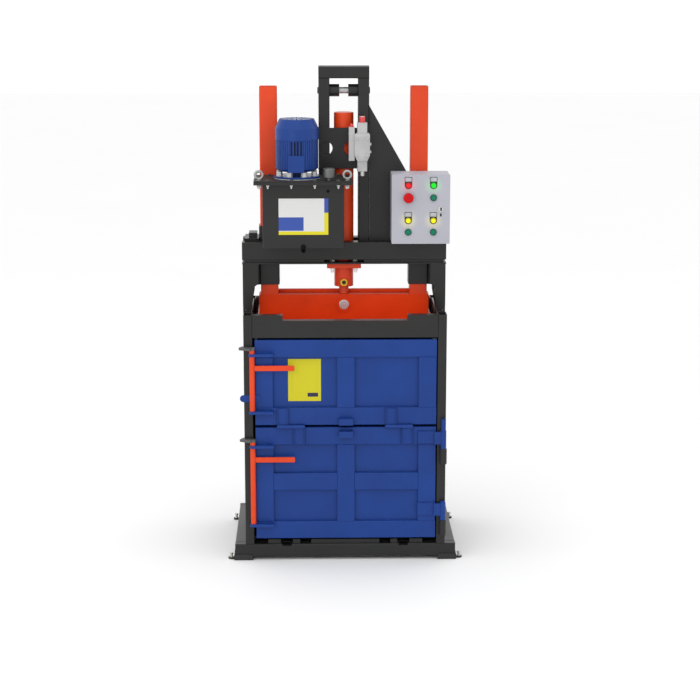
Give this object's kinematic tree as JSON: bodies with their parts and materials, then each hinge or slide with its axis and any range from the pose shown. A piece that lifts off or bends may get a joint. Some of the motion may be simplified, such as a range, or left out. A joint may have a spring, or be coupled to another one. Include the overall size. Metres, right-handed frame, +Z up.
{
  "type": "vertical recycling baler",
  "caption": "Vertical hydraulic baler: press chamber with hinged door, loading flap and cam latches, guided platen, lifting yoke, oil unit with motor, and control cabinet.",
  "frame": {"origin": "on the floor under the middle of the bounding box", "axes": "+Z up, +X to the right of someone who faces the machine, the front with the door faces -Y"},
  "size_m": [1.064, 0.702, 2.206],
  "materials": {
    "dark_paint": "semi-gloss",
    "red_paint": "semi-gloss",
    "door_blue": "semi-gloss",
    "motor_blue": "semi-gloss",
    "cabinet_grey": "satin",
    "bare_steel": "satin",
    "zinc": "satin",
    "chrome_rod": "polished",
    "cast_valve": "satin",
    "rubber": "matt",
    "black_plastic": "matt",
    "switch_plastic": "matt",
    "lamp_glass": "gloss",
    "red_plastic": "gloss",
    "green_plastic": "gloss"
  },
  "bodies": {
    "frame": {"base_frame": "dark_paint", "foot_pads": "rubber", "anchor_bolts": "zinc", "floor_plate": "dark_paint", "chamber_walls": "dark_paint", "wall_rails": "dark_paint", "columns": "dark_paint", "lintel": "dark_paint", "hinge_posts": "dark_paint", "head_posts": "dark_paint", "head_plate": "dark_paint", "head_beams": "dark_paint", "guide_sleeves": "dark_paint", "sleeve_stay": "dark_paint", "cylinder_barrel": "red_paint", "cylinder_gland": "red_paint", "head_bolts": "zinc", "yoke_frame": "dark_paint", "lifting_pin": "bare_steel", "cabinet_gusset": "dark_paint", "valve_body": "cast_valve", "valve_coils": "cast_valve", "valve_nuts": "zinc", "oil_tank": "dark_paint", "tank_lid": "dark_paint", "lid_bolts": "zinc", "lifting_eyes": "zinc", "breather": "bare_steel", "drain_plug": "dark_paint", "oil_pump": "cast_valve", "motor_body": "motor_blue", "fan_cover": "motor_blue", "cabinet_box": "cabinet_grey", "switchgear": "switch_plastic"},
    "main_door": {"door_frame": "door_blue", "door_panels": "door_blue", "door_fittings": "door_blue", "hinge_straps": "door_blue", "flap_hinge_pins": "door_blue"},
    "flap": {"flap_frame": "door_blue", "flap_panels": "door_blue", "flap_fittings": "door_blue"},
    "lower_latch": {"lower_latch_bar": "red_paint", "lower_latch_cam": "bare_steel"},
    "upper_latch": {"upper_latch_bar": "red_paint", "upper_latch_cam": "bare_steel"},
    "platen": {"press_plate": "red_paint", "platen_beam": "red_paint", "guide_tubes": "red_paint", "piston_rod": "chrome_rod", "rod_pin": "bare_steel"},
    "cabinet_door": {"cabinet_door": "cabinet_grey", "indicator_lamps": "lamp_glass", "button_bezels": "green_plastic"},
    "cabinet_lock": {"cabinet_lock": "black_plastic"},
    "emergency_stop": {"emergency_stop": "red_plastic"},
    "start_button": {"start_button": "green_plastic"},
    "raise_button": {"raise_button": "green_plastic"},
    "lower_button": {"lower_button": "green_plastic"},
    "motor_rotor": {"motor_rotor": "black_plastic"}
  },
  "joints": [
    {"name": "door_swing", "type": "hinge", "parent": "frame", "child": "main_door", "pos_m": [0.44, -0.33003, 0.3], "axis": [0, 0, 1], "range_deg": [0, 180]},
    {"name": "flap_fold", "type": "hinge", "parent": "main_door", "child": "flap", "pos_m": [0, -0.32303, 0.6255], "axis": [1, 0, 0], "range_deg": [0, 90]},
    {"name": "lower_latch_turn", "type": "hinge", "parent": "main_door", "child": "lower_latch", "pos_m": [-0.414, -0.33103, 0.37], "axis": [0, 0, 1], "range_deg": [-60, 0]},
    {"name": "upper_latch_turn", "type": "hinge", "parent": "flap", "child": "upper_latch", "pos_m": [-0.414, -0.33103, 0.84], "axis": [0, 0, 1], "range_deg": [-60, 0]},
    {"name": "platen_travel", "type": "slide", "parent": "frame", "child": "platen", "axis": [0, 0, -1], "range_m": [0, 0.6]},
    {"name": "cabinet_door_swing", "type": "hinge", "parent": "frame", "child": "cabinet_door", "pos_m": [0.213, -0.16803, 1.583], "axis": [0, 0, -1], "range_deg": [0, 110]},
    {"name": "lock_turn", "type": "hinge", "parent": "cabinet_door", "child": "cabinet_lock", "pos_m": [0.429, -0.17103, 1.584], "axis": [0, 1, 0], "range_deg": [0, 90]},
    {"name": "emergency_stop_push", "type": "slide", "parent": "cabinet_door", "child": "emergency_stop", "axis": [0, 1, 0], "range_m": [0, 0.004]},
    {"name": "start_button_push", "type": "slide", "parent": "cabinet_door", "child": "start_button", "axis": [0, 1, 0], "range_m": [0, 0.003], "stiffness_N_per_m": 450, "springref_m": -0.002},
    {"name": "raise_button_push", "type": "slide", "parent": "cabinet_door", "child": "raise_button", "axis": [0, 1, 0], "range_m": [0, 0.003], "stiffness_N_per_m": 450, "springref_m": -0.002},
    {"name": "lower_button_push", "type": "slide", "parent": "cabinet_door", "child": "lower_button", "axis": [0, 1, 0], "range_m": [0, 0.003], "stiffness_N_per_m": 450, "springref_m": -0.002},
    {"name": "motor_spin", "type": "hinge", "parent": "frame", "child": "motor_rotor", "pos_m": [-0.211, -0.15303, 1.8], "axis": [0, 0, 1], "continuous": true}
  ]
}
